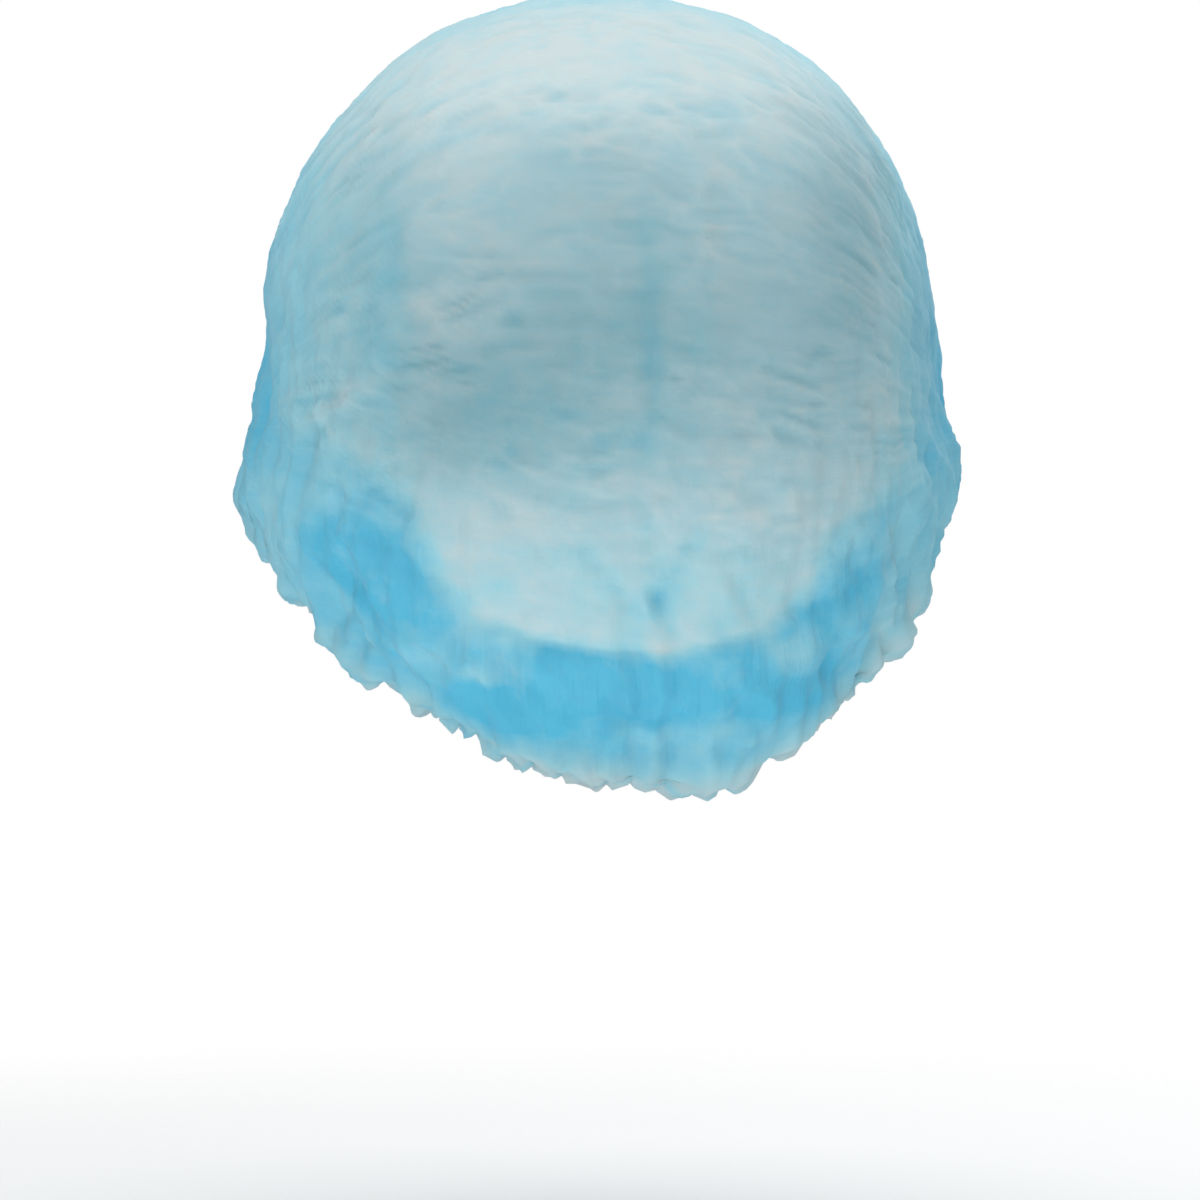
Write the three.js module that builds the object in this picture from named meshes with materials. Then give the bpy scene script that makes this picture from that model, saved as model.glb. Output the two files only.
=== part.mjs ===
// A disposable hairnet in its worn shape: a thin blue non-woven cap, drawn in round the head by an elastic
// band that its gathered hem hides. It sits low on the nape, passes over the ears and ends at the brow.
//
// Millimetres. The origin is where the top of the head touches the inside of the crown.
// +X is the wearer's right, +Y the wearer's front and +Z up.
import * as THREE from 'three';

// The cap's overall size, as worn
const CAP_WIDTH = 180;
const CAP_DEPTH = 200;
const CAP_HEIGHT = 196;

// The cloth, its hem and its gathers
const CLOTH_WALL = 1;
const FOLD_RADIUS = 5;
const HEM_TUCK = 13;
const HEM_RISE = 7;
const HEM_WALL_HEIGHT = 8;
const GATHER_COUNT = 36;
const GATHER_DEPTH = 2.4;
const HEM_GATHER_DEPTH = 0.9;

// The elastic band, which lies behind the hem wall, between it and the puff
const BAND_WIDTH = 6;
const BAND_THICKNESS = 1;
const BAND_GAP = 0.3;

// How finely the cloth is divided. A gather takes COLUMNS_PER_GATHER columns below the crown and half
// as many over it.
const COLUMNS_PER_GATHER = 4;
const DOME_ROWS = 8;
const PUFF_ROWS = 4;
const FOLD_ROWS = 4;
const HEM_ROWS = 4;
const BAND_STEPS = 72;

const halfWidth = CAP_WIDTH / 2;
const halfDepth = CAP_DEPTH / 2;
const columnCount = GATHER_COUNT * COLUMNS_PER_GATHER;
const domeColumnCount = columnCount / 2;

// One row for each upright section through the crown's axis. azimuth is in degrees, from the nape (0) past
// the wearer's right ear (90) to the brow (180) and the left ear (270). reach, belly and edge are shares of
// the cap's half width and depth; shoulder, puff and drop are shares of its height.
//   reach, shoulder: where the crown becomes upright, and how far down
//   fullness:        2 is an ellipse, and more is squarer
//   belly, puff:     the loose stretch over the ears and nape, and how far down
//   edge, drop:      the lowest fold, and how far down
const SECTIONS = [
  { azimuth: 0, reach: 1.01, shoulder: 0.555, fullness: 2.3, belly: 0.955, puff: 0.81, edge: 0.86, drop: 0.99 },
  { azimuth: 17, reach: 1.01, shoulder: 0.555, fullness: 2.3, belly: 0.955, puff: 0.81, edge: 0.86, drop: 0.995 },
  { azimuth: 34, reach: 0.99, shoulder: 0.545, fullness: 2.3, belly: 0.955, puff: 0.77, edge: 0.88, drop: 0.94 },
  { azimuth: 50, reach: 0.945, shoulder: 0.52, fullness: 2.3, belly: 0.955, puff: 0.71, edge: 0.91, drop: 0.86 },
  { azimuth: 65, reach: 0.915, shoulder: 0.5, fullness: 2.28, belly: 0.935, puff: 0.64, edge: 0.9, drop: 0.785 },
  { azimuth: 90, reach: 0.9, shoulder: 0.46, fullness: 2.25, belly: 0.945, puff: 0.58, edge: 0.91, drop: 0.665 },
  { azimuth: 120, reach: 0.92, shoulder: 0.37, fullness: 2.3, belly: 0.95, puff: 0.46, edge: 0.91, drop: 0.53 },
  { azimuth: 150, reach: 0.93, shoulder: 0.3, fullness: 2.25, belly: 0.95, puff: 0.38, edge: 0.92, drop: 0.45 },
  { azimuth: 180, reach: 0.92, shoulder: 0.28, fullness: 2.2, belly: 0.94, puff: 0.35, edge: 0.92, drop: 0.42 },
  { azimuth: 210, reach: 0.93, shoulder: 0.29, fullness: 2.2, belly: 0.96, puff: 0.38, edge: 0.93, drop: 0.45 },
  { azimuth: 240, reach: 0.945, shoulder: 0.33, fullness: 2.05, belly: 0.97, puff: 0.46, edge: 0.94, drop: 0.545 },
  { azimuth: 270, reach: 0.94, shoulder: 0.37, fullness: 1.95, belly: 0.975, puff: 0.58, edge: 0.96, drop: 0.675 },
  { azimuth: 295, reach: 0.96, shoulder: 0.42, fullness: 2.05, belly: 0.975, puff: 0.65, edge: 0.94, drop: 0.775 },
  { azimuth: 312, reach: 0.98, shoulder: 0.48, fullness: 2.2, belly: 0.98, puff: 0.71, edge: 0.925, drop: 0.85 },
  { azimuth: 330, reach: 1.0, shoulder: 0.53, fullness: 2.3, belly: 0.975, puff: 0.76, edge: 0.885, drop: 0.905 },
  { azimuth: 345, reach: 1.01, shoulder: 0.55, fullness: 2.3, belly: 0.96, puff: 0.79, edge: 0.86, drop: 0.96 },
];

// The main folds that stand out of the cap, or dent it where push is below 0. level is a share of the local
// drop, push a share of the cap's half width, and the spreads are how far a fold reaches round and down.
const FOLDS = [
  { azimuth: 268, level: 0.97, push: 0.06, spreadRound: 6, spreadDown: 0.07 },
  { azimuth: 276, level: 0.5, push: 0.012, spreadRound: 12, spreadDown: 0.1 },
  { azimuth: 92, level: 0.93, push: 0.035, spreadRound: 8, spreadDown: 0.08 },
  { azimuth: 66, level: 0.97, push: 0.03, spreadRound: 4, spreadDown: 0.06 },
  { azimuth: 58, level: 0.98, push: 0.025, spreadRound: 3.5, spreadDown: 0.05 },
  { azimuth: 79, level: 0.96, push: -0.02, spreadRound: 4, spreadDown: 0.06 },
  { azimuth: 302, level: 0.95, push: 0.03, spreadRound: 6, spreadDown: 0.07 },
  { azimuth: 318, level: 0.9, push: -0.022, spreadRound: 5, spreadDown: 0.07 },
  { azimuth: 334, level: 0.9, push: 0.03, spreadRound: 8, spreadDown: 0.08 },
  { azimuth: 22, level: 0.93, push: 0.025, spreadRound: 7, spreadDown: 0.07 },
];

const smooth = (from, to, value) => THREE.MathUtils.smoothstep(value, from, to);
const turnOf = (degrees) => THREE.MathUtils.degToRad(degrees);
const roundApart = (a, b) => Math.abs(((a - b + 540) % 360) - 180);

// A smooth curve through four values, between the second and the third.
function between(before, from, to, after, share) {
  const startSlope = (to - before) / 2;
  const endSlope = (after - from) / 2;
  const bend = 3 * (to - from) - 2 * startSlope - endSlope;
  const twist = 2 * (from - to) + startSlope + endSlope;
  return from + share * (startSlope + share * (bend + share * twist));
}

// The section at any azimuth, between the rows of the table.
function sectionAt(azimuth) {
  const count = SECTIONS.length;
  const last = SECTIONS.findLastIndex((row) => row.azimuth <= azimuth);
  const rows = [-1, 0, 1, 2].map((step) => SECTIONS[(last + step + count) % count]);
  const width = (rows[2].azimuth - rows[1].azimuth + 360) % 360;
  const share = (azimuth - rows[1].azimuth) / width;
  const section = { azimuth };
  for (const column of ['reach', 'shoulder', 'fullness', 'belly', 'puff', 'edge', 'drop']) {
    section[column] = between(...rows.map((row) => row[column]), share);
  }
  return section;
}

// How far the cap's plan ellipse reaches at an azimuth.
function planReach(azimuth) {
  const turn = turnOf(azimuth);
  return 1 / Math.hypot(Math.sin(turn) / halfWidth, Math.cos(turn) / halfDepth);
}

// The radius of the hem wall's face against the head, and the height of its foot.
function hemAt(azimuth) {
  const section = sectionAt(azimuth);
  return {
    radius: section.edge * planReach(azimuth) - HEM_TUCK,
    low: CLOTH_WALL - section.drop * CAP_HEIGHT + HEM_RISE,
  };
}

// The cloth's outer line at an azimuth, from below the top of the crown to the top of the hem wall, as
// [radius, height, how much of the gathers' depth it takes] for each row.
function outerLine(azimuth) {
  const section = sectionAt(azimuth);
  const plan = planReach(azimuth);
  const hem = hemAt(azimuth);
  const reach = section.reach * plan;
  const shoulder = section.shoulder * CAP_HEIGHT;
  const drop = section.drop * CAP_HEIGHT;
  const power = 2 / section.fullness;
  const rows = [];
  for (let i = 1; i <= DOME_ROWS; i++) {
    const turn = (i / DOME_ROWS) * (Math.PI / 2);
    rows.push([
      reach * Math.sin(turn) ** power,
      CLOTH_WALL - shoulder * (1 - Math.cos(turn) ** power),
      0,
    ]);
  }
  const fold = section.edge * plan;
  const puffLine = new THREE.CatmullRomCurve3([
    new THREE.Vector3(reach, CLOTH_WALL - shoulder, 0),
    new THREE.Vector3(section.belly * plan, CLOTH_WALL - section.puff * CAP_HEIGHT, 0),
    new THREE.Vector3(fold, CLOTH_WALL - drop + FOLD_RADIUS, 0),
  ]);
  for (let i = 1; i <= PUFF_ROWS; i++) {
    const share = i / PUFF_ROWS;
    const point = puffLine.getPoint(share);
    rows.push([point.x, point.y, smooth(0, 1, share)]);
  }
  const foldTurn = Math.PI * 0.75;
  for (let i = 1; i <= FOLD_ROWS; i++) {
    const turn = (i / FOLD_ROWS) * foldTurn;
    rows.push([
      fold - FOLD_RADIUS * (1 - Math.cos(turn)),
      CLOTH_WALL - drop + FOLD_RADIUS * (1 - Math.sin(turn)),
      1,
    ]);
  }
  const hemShare = HEM_GATHER_DEPTH / GATHER_DEPTH;
  for (let i = 0; i < HEM_ROWS; i++) {
    rows.push([
      hem.radius,
      hem.low + (i / (HEM_ROWS - 1)) * HEM_WALL_HEIGHT,
      hemShare,
    ]);
  }
  return rows;
}

// The gathers' wave round the hem, from -1 to 1, with no two gathers quite alike.
function gatherWave(azimuth) {
  const turn = turnOf(azimuth);
  const drift = 0.9 * Math.sin(3 * turn + 0.5) + 0.5 * Math.sin(7 * turn + 2);
  const strength = 0.8 + 0.2 * Math.sin(5 * turn + 1);
  return strength * Math.sin(GATHER_COUNT * turn + drift);
}

// How far the main folds push the cloth out at an azimuth and a share of the local drop.
function foldPush(azimuth, level) {
  return FOLDS.reduce((push, fold) => {
    const round = roundApart(azimuth, fold.azimuth) / fold.spreadRound;
    const down = (level - fold.level) / fold.spreadDown;
    return push + fold.push * halfWidth * Math.exp(-round * round - down * down);
  }, 0);
}

// The triangles between two closed rings of points, the lower with as many points as the upper or twice as many.
function stitch(upper, lower) {
  const triangles = [];
  const doubled = lower.length === 2 * upper.length;
  upper.forEach((point, i) => {
    const next = upper[(i + 1) % upper.length];
    if (doubled) {
      const [a, b, c] = [0, 1, 2].map((step) => lower[(2 * i + step) % lower.length]);
      triangles.push([point, a, b], [point, b, next], [next, b, c]);
    } else {
      const below = lower[i];
      const belowNext = lower[(i + 1) % lower.length];
      triangles.push([point, below, belowNext], [point, belowNext, next]);
    }
  });
  return triangles;
}

// The unit normal at each point of a mesh.
function normalsOf(points, triangles) {
  const geometry = new THREE.BufferGeometry().setFromPoints(points);
  geometry.setIndex(triangles.flat());
  geometry.computeVertexNormals();
  const normals = geometry.getAttribute('normal');
  return points.map((_, i) => new THREE.Vector3().fromBufferAttribute(normals, i));
}

function solidMesh(name, points, triangles, material) {
  const geometry = new THREE.BufferGeometry().setFromPoints(points);
  geometry.setIndex(triangles.flat());
  geometry.computeVertexNormals();
  const mesh = new THREE.Mesh(geometry, material);
  mesh.name = name;
  return mesh;
}

// The cap's one piece of cloth: an outer sheet, gathered and folded, and the same sheet one wall further in,
// joined along the raw edge of the hem.
function capCloth(material) {
  const points = [new THREE.Vector3(0, 0, CLOTH_WALL)];
  const gatherDepths = [0];
  const pushes = [0];
  const rings = [];
  const rowCount = DOME_ROWS + PUFF_ROWS + FOLD_ROWS + HEM_ROWS;
  for (let row = 0; row < rowCount; row++) {
    const count = row < DOME_ROWS ? domeColumnCount : columnCount;
    const ring = [];
    for (let column = 0; column < count; column++) {
      const azimuth = (column / count) * 360;
      const [radius, height, gathered] = outerLine(azimuth)[row];
      const turn = turnOf(azimuth);
      const onHem = row >= DOME_ROWS + PUFF_ROWS + FOLD_ROWS;
      const level = (CLOTH_WALL - height) / (sectionAt(azimuth).drop * CAP_HEIGHT);
      ring.push(points.length);
      points.push(new THREE.Vector3(radius * Math.sin(turn), -radius * Math.cos(turn), height));
      gatherDepths.push(gathered * GATHER_DEPTH * gatherWave(azimuth));
      pushes.push(onHem ? 0 : foldPush(azimuth, level));
    }
    rings.push(ring);
  }
  const top = rings[0].map((point, i) => [0, point, rings[0][(i + 1) % rings[0].length]]);
  const sheet = top.concat(...rings.slice(1).map((ring, i) => stitch(rings[i], ring)));
  const plain = normalsOf(points, sheet);
  const outer = points.map((point, i) => point.clone().addScaledVector(plain[i], gatherDepths[i] + pushes[i]));
  const facing = normalsOf(outer, sheet);
  const inner = outer.map((point, i) => point.clone().addScaledVector(facing[i], -CLOTH_WALL));
  const lift = points.length;
  const lining = sheet.map(([a, b, c]) => [a + lift, c + lift, b + lift]);
  const edge = rings[rowCount - 1];
  const rawEdge = stitch(edge, edge.map((point) => point + lift));
  return solidMesh('cap_cloth', [...outer, ...inner], [...sheet, ...lining, ...rawEdge], material);
}

// The elastic: a flat closed band round the back of the hem wall, level with its top and a gap clear of the
// gathers' outermost lines.
function elasticBand(material) {
  const points = [];
  const sides = 4;
  for (let step = 0; step < BAND_STEPS; step++) {
    const azimuth = (step / BAND_STEPS) * 360;
    const turn = turnOf(azimuth);
    const hem = hemAt(azimuth);
    const inside = hem.radius + HEM_GATHER_DEPTH + CLOTH_WALL + BAND_GAP;
    const low = hem.low + HEM_WALL_HEIGHT - BAND_WIDTH;
    const corners = [
      [inside + BAND_THICKNESS, low],
      [inside + BAND_THICKNESS, low + BAND_WIDTH],
      [inside, low + BAND_WIDTH],
      [inside, low],
    ];
    for (const [radius, height] of corners) {
      points.push(new THREE.Vector3(radius * Math.sin(turn), -radius * Math.cos(turn), height));
    }
  }
  const triangles = [];
  for (let step = 0; step < BAND_STEPS; step++) {
    const here = step * sides;
    const there = ((step + 1) % BAND_STEPS) * sides;
    for (let side = 0; side < sides; side++) {
      const next = (side + 1) % sides;
      triangles.push(
        [here + side, there + side, there + next],
        [here + side, there + next, here + next],
      );
    }
  }
  return solidMesh('elastic_band', points, triangles, material);
}

const clothMaterial = new THREE.MeshStandardMaterial({
  name: 'blue non-woven',
  color: new THREE.Color(0.36, 0.68, 0.82),
  roughness: 0.85,
  metalness: 0,
});
const bandMaterial = new THREE.MeshStandardMaterial({
  name: 'white elastic',
  color: new THREE.Color(0.9, 0.92, 0.93),
  roughness: 0.7,
  metalness: 0,
});

const hairnet = new THREE.Group();
hairnet.add(capCloth(clothMaterial), elasticBand(bandMaterial));

export default hairnet;
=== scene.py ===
import bpy
import numpy as np
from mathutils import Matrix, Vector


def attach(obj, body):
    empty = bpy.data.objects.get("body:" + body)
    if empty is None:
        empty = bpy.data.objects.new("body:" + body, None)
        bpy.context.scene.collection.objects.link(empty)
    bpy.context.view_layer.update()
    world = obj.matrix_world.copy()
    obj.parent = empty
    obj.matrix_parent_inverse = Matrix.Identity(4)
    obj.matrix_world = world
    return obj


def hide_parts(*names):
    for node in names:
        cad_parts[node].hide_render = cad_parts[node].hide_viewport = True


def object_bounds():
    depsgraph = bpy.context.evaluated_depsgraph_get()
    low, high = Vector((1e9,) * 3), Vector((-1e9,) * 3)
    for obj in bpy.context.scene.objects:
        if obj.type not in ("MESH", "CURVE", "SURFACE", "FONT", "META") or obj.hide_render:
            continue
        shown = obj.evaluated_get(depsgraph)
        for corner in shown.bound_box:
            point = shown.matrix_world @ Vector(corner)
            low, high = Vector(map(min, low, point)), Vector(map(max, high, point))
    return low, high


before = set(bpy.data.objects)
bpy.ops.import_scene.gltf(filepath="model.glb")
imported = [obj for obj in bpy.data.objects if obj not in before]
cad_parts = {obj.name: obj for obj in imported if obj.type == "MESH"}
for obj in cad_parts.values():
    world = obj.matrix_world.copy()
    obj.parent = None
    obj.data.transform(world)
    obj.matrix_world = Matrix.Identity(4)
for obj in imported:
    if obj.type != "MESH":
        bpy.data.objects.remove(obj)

bl_info = {
    "name": "Disposable Hairnet",
    "version": (1, 0, 0),
    "blender": (4, 5, 0),
    "location": "View3D > Sidebar > Hairnet",
    "description": "Makes a gathered non-woven cap as worn, its elastic and a plain studio",
    "category": "Add Mesh",
}

# Everything is in metres. The origin is where the top of the head touches the crown's inside, +X is the
# wearer's right, +Y the wearer's front and +Z up. Azimuth runs from the nape (0) past the wearer's right ear
# (90 degrees) to the brow (180) and the left ear (270). The sheet runs through the middle of the CAD wall.
CAD_LOW, CAD_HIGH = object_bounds()
CLOTH_NODE = "cap_cloth"
BAND_NODE = "elastic_band"
MM = 0.001
HALF_WALL = MM / 2

# One row for each upright section of the cap. reach, belly and edge are shares of its half width and depth;
# shoulder, puff and drop are shares of its height. Fullness 2 is an ellipse, and more is squarer.
SECTION_COLUMNS = ("azimuth", "reach", "shoulder", "fullness", "belly", "puff", "edge", "drop")
SECTIONS = (
    (0, 1.01, 0.555, 2.3, 0.955, 0.81, 0.86, 0.99),
    (17, 1.01, 0.555, 2.3, 0.955, 0.81, 0.86, 0.995),
    (34, 0.99, 0.545, 2.3, 0.955, 0.77, 0.88, 0.94),
    (50, 0.945, 0.52, 2.3, 0.955, 0.71, 0.91, 0.86),
    (65, 0.915, 0.5, 2.28, 0.935, 0.64, 0.9, 0.785),
    (90, 0.9, 0.46, 2.25, 0.945, 0.58, 0.91, 0.665),
    (120, 0.92, 0.37, 2.3, 0.95, 0.46, 0.91, 0.53),
    (150, 0.93, 0.3, 2.25, 0.95, 0.38, 0.92, 0.45),
    (180, 0.92, 0.28, 2.2, 0.94, 0.35, 0.92, 0.42),
    (210, 0.93, 0.29, 2.2, 0.96, 0.38, 0.93, 0.45),
    (240, 0.945, 0.33, 2.05, 0.97, 0.46, 0.94, 0.545),
    (270, 0.94, 0.37, 1.95, 0.975, 0.58, 0.96, 0.675),
    (295, 0.96, 0.42, 2.05, 0.975, 0.65, 0.94, 0.775),
    (312, 0.98, 0.48, 2.2, 0.98, 0.71, 0.925, 0.85),
    (330, 1.0, 0.53, 2.3, 0.975, 0.76, 0.885, 0.905),
    (345, 1.01, 0.55, 2.3, 0.96, 0.79, 0.86, 0.96),
)

# The main folds that stand out of the cap, or dent it: azimuth, share of the local drop, push in metres, and
# how far the fold spreads round (degrees) and down (share of the drop).
FOLDS = (
    (268, 0.97, 0.0070, 9, 0.10),
    (276, 0.50, 0.0010, 12, 0.10),
    (92, 0.93, 0.0032, 8, 0.08),
    (66, 0.97, 0.0027, 4, 0.06),
    (57, 0.98, 0.0042, 4, 0.06),
    (79, 0.96, -0.0018, 4, 0.06),
    (301, 0.96, -0.0010, 6, 0.08),
    (318, 0.90, -0.0020, 5, 0.07),
    (334, 0.90, 0.0025, 8, 0.08),
    (22, 0.93, 0.0022, 7, 0.07),
    (52, 0.92, -0.0030, 14, 0.16),
    (316, 0.95, -0.0016, 20, 0.12),
    (7, 1.00, -0.0022, 8, 0.08),
    (339, 1.00, -0.0014, 7, 0.08),
    (285, 0.08, 0.0018, 45, 0.08),
)

# Creases on the back of the cap, seen square on: x and z of both ends, half width and depth, in millimetres.
# A negative depth is a ridge.
CREASES = (
    (7, -60, 9, -74, 2.6, 0.4),
    (8, -80, 10, -100, 3.0, 0.5),
    (9, -104, 7, -124, 3.0, 0.4),
    (8, -130, 12, -150, 2.5, 0.8),
    (10, -148, 15, -157, 1.8, 1.1),
    (29, -144, 33, -153, 1.8, 0.8),
    (-6, -137, 4, -149, 2.0, 0.9),
    (20, -134, 11, -149, 2.0, 0.9),
    (-38, -166, -30, -163.5, 1.6, -1.2),
    (-30, -163.5, -21, -170, 1.6, -1.2),
    (-23, -169, -20, -177, 2.2, 1.3),
    (-72, -107, -60, -101, 2.0, -1.4),
    (-60, -101, -50, -97, 2.0, -1.2),
    (-50, -62, -50, -98, 3.0, 0.7),
    (-62, -118, -48, -128, 2.8, 1.3),
    (-56, -134, -40, -146, 3.0, 1.4),
    (-68, -140, -56, -150, 2.6, 1.2),
    (50, -150, 66, -138, 2.6, 1.2),
    (36, -168, 52, -164, 2.6, 1.0),
    (-8, -172, 10, -176, 2.6, 1.0),
)

# Trains of gathers: share of the gathers round the hem, height above the fold and spread in metres, strength
GATHER_TRAINS = (
    (1, 0.000, 0.016, 1.0),
    (0.5, 0.020, 0.018, 0.7),
    (0.25, 0.048, 0.030, 0.6),
)

# The seat's middle and its half width and half height, in millimetres
SEAT = (5, -141, 42, 20)

# How the back's look departs from the plain one, seen square on: x, z, half width and half height of a soft
# patch in millimetres, then how much bluer the cloth is there and how much painted shade darkens it. The
# first row is a painted highlight at the top of the back: the cloth is paler there and has less painted
# shade.
LOOKS = (
    (-5, -19, 40, 10, -0.12, -0.20),
    (-4, -88, 64, 40, 0.03, 0.96),
    (60, -52, 16, 30, 0.04, 0.55),
    (56, -104, 26, 46, 0.04, 0.30),
    (9, -88, 3, 26, 0.12, 0.10),
    (-57, -146, 20, 22, 0.05, 0.0),
    (-45, -130, 10, 14, 0.11, 0.0),
    (-30, -178, 16, 8, 0.34, 0.0),
    (58, -152, 8, 12, 0.16, 0.0),
    (67, -155, 13, 18, -0.24, 0.0),
    (-84, -128, 10, 12, -0.16, 0.0),
    (76, -82, 8, 28, 0.16, 0.22),
    (-36, -108, 24, 16, 0.06, 0.36),
    (8, -170, 34, 6, 0.46, 0.0),
    (6, -146, 42, 13, 0.24, 0.05),
    (0, -114, 40, 13, 0.09, 0.06),
    (0, -50, 44, 14, 0.0, 0.26),
    (-58, -62, 14, 30, 0.02, 0.28),
)

# Two sets of wrinkles over the crown: length and spacing of the noise's cells in metres, slant, height in the
# noise, seed and strength
WRINKLE_SETS = (
    (0.014, 0.0042, 0.08, 3.5, 51, 1.0),
    (0.0085, 0.0034, -0.10, 7.5, 52, 0.8),
)

# The height of the line through the ears that the wrinkles fan out from, and the fan's radius, in metres
EAR_HEIGHT = -0.105
FAN_RADIUS = 0.100

# How deep the gathers are, as shares of the gather depth: on all the cloth, added from the fold on, and added
# again from the fold to the hem
GATHERS_ALL = 0.12
GATHERS_FROM_FOLD = 0.25
GATHERS_TO_HEM = 1.00

# How far each kind of unevenness moves the cloth, in metres. The loose parts are added where the cloth is
# loose, and the side part at the sides.
FOLD_DRAWN_IN = 0.0020
SEAT_SWELL = 0.0016
SEAT_GROOVE = 0.0009
BILLOW, LOOSE_BILLOW = 0.0008, 0.0010
CRUMPLE, LOOSE_CRUMPLE, SIDE_CRUMPLE = 0.0002, 0.0029, 0.0005
WRINKLE = 0.0007
INWARD_LIMIT = 0.0050
CASING_CLEARANCE = 0.0008

# How blue the cloth is, from 0 (pale) to 1 (deep): everywhere, and what each thing adds or takes. A crease
# counts by its depth in metres.
PLAIN_BLUE = 0.13
LEFT_BLUE, FAR_LEFT_BLUE, RIGHT_BLUE = 0.21, 0.16, 0.24
RIM_BLUE = 0.30
BAND_BLUE = 0.66
PATCH_BLUE, LOW_PATCH_BLUE = 0.08, 0.16
EDGE_BLUE = 0.03
# Near the hem the gathers' crests are painted paler and their hollows bluer: painted highlight and painted
# shade.
GATHER_PAINTED_LIGHT = 0.05
# Wrinkles and creases paint their ridges paler and their grooves bluer and darker: painted highlight and
# painted shade. The first of each pair sets the blue, and the second sets the painted shade.
WRINKLE_PAINTED_LIGHT, WRINKLE_PAINTED_SHADE = 0.08, 0.14
CREASE_PAINTED_LIGHT, CREASE_PAINTED_SHADE = 110, 60

# The share of the cloth's colour that shows by light from behind it
SHARE_THROUGH = 0.25

# The studio's lights: name, place, size in metres and power in watts
LIGHTS = (
    ("top_light", (0.0, -0.10, 0.95), 0.9, 8.3),
    ("front_light", (-0.3, -1.3, -0.05), 0.9, 5.0),
    ("low_light", (0.0, -0.75, -0.95), 1.0, 11.5),
    ("low_left_light", (-0.85, -0.5, -0.75), 0.8, 5.0),
    ("low_right_light", (0.85, -0.5, -0.75), 0.8, 5.0),
    ("rim_light", (0.7, 0.9, 0.45), 0.7, 5.0),
)
SURROUNDINGS_GLOW = 0.40
FLOOR_RADIUS = 0.6

# Where the camera stands, apart from its distance. The cap is then high in the picture, a little right of the
# middle.
CAMERA_X = -0.0025
CAMERA_Z = -0.1485


# Sizes and colours that a user would change


def length(name, description, default):
    return bpy.props.FloatProperty(
        name=name, description=description, default=default, min=0, unit="LENGTH"
    )


def colour(name, description, default):
    return bpy.props.FloatVectorProperty(
        name=name, description=description, default=default, size=3, min=0, max=1, subtype="COLOR"
    )


class HairnetCap(bpy.types.PropertyGroup):
    """The cap's shape, its gathers and its cloth."""

    width: length("Width", "Across the ears, as worn", 0.180)
    depth: length("Depth", "From brow to nape, as worn", 0.200)
    height: length("Height", "From the crown to the lowest fold", 0.196)
    flat_diameter: length("Cut", "Diameter of the round of cloth before it is gathered", 0.457)
    fold_radius: length("Fold radius", "Radius of the turn at the lowest fold", 0.005)
    hem_tuck: length("Hem tuck", "From the lowest fold in to the hem", 0.013)
    hem_rise: length("Hem rise", "From the lowest fold up to the hem's foot", 0.007)
    hem_height: length("Hem height", "Height of the hem round the head", 0.008)
    casing_radius: length("Casing turn", "Radius of the hem's turn over the elastic", 0.0022)
    gathers: bpy.props.IntProperty(name="Gathers", description="Gathers round the hem", default=72, min=8)
    gather_depth: length("Gather depth", "How far a gather stands out at the fold", 0.0045)
    pale: colour("Pale", "Colour where the cloth is drawn smooth", (0.68, 0.77, 0.77))
    even: colour("Even", "Colour where the cloth is loose", (0.39, 0.74, 0.83))
    deep: colour("Deep", "Colour where the cloth is gathered", (0.11, 0.57, 0.80))
    # Painted shade: the cloth's colour is multiplied by this over the middle of the back, in creases and in
    # the hollows of wrinkles.
    dim: colour("Painted shade", "What the colour is multiplied by in the shade of the back", (0.42, 0.56, 0.60))


class HairnetBand(bpy.types.PropertyGroup):
    """The elastic in the hem."""

    width: length("Width", "Width of the elastic", 0.006)
    thickness: length("Thickness", "Thickness of the elastic", 0.001)
    offset: length("Offset", "From the hem to the inside of the elastic", 0.0022)
    ribs: bpy.props.IntProperty(name="Ribs", description="Cords seen along the elastic", default=6, min=2)
    white: colour("White", "Colour of the elastic", (0.86, 0.90, 0.92))


class HairnetStudio(bpy.types.PropertyGroup):
    """The floor, the lights and the camera."""

    floor_height: bpy.props.FloatProperty(
        name="Floor", description="Height of the floor", default=-0.315, unit="LENGTH"
    )
    camera_distance: length("Camera distance", "From the camera to the cap's axis", 1.100)
    frame_size: length("Frame", "Width of the picture at the cap's axis", 0.300)


# Shapes: numbers spread over a grid of columns round the cap and rows down it


NOISE_CELLS = 40
NOISE_GAIN = 1.6


def cloud(places, seed):
    """Smooth noise from about -1 to 1: random slopes at the corners of unit cells, blended by an S-curve.

    The noise repeats after NOISE_CELLS cells.
    """
    slopes = np.random.default_rng(seed).normal(size=(NOISE_CELLS, NOISE_CELLS, NOISE_CELLS, 3))
    slopes /= np.linalg.norm(slopes, axis=3, keepdims=True)
    parts = [places[..., axis] for axis in range(3)]
    whole = [np.floor(part).astype(int) for part in parts]
    share = [part - cell for part, cell in zip(parts, whole)]
    ease = [s * s * s * (s * (s * 6 - 15) + 10) for s in share]
    total = 0
    for corner in np.ndindex(2, 2, 2):
        weight = 1
        for step, eased in zip(corner, ease):
            weight = weight * (eased if step else 1 - eased)
        slope = slopes[tuple((cell + step) % NOISE_CELLS for cell, step in zip(whole, corner))]
        rise = sum(slope[..., axis] * (share[axis] - corner[axis]) for axis in range(3))
        total = total + weight * rise
    return NOISE_GAIN * total


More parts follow.
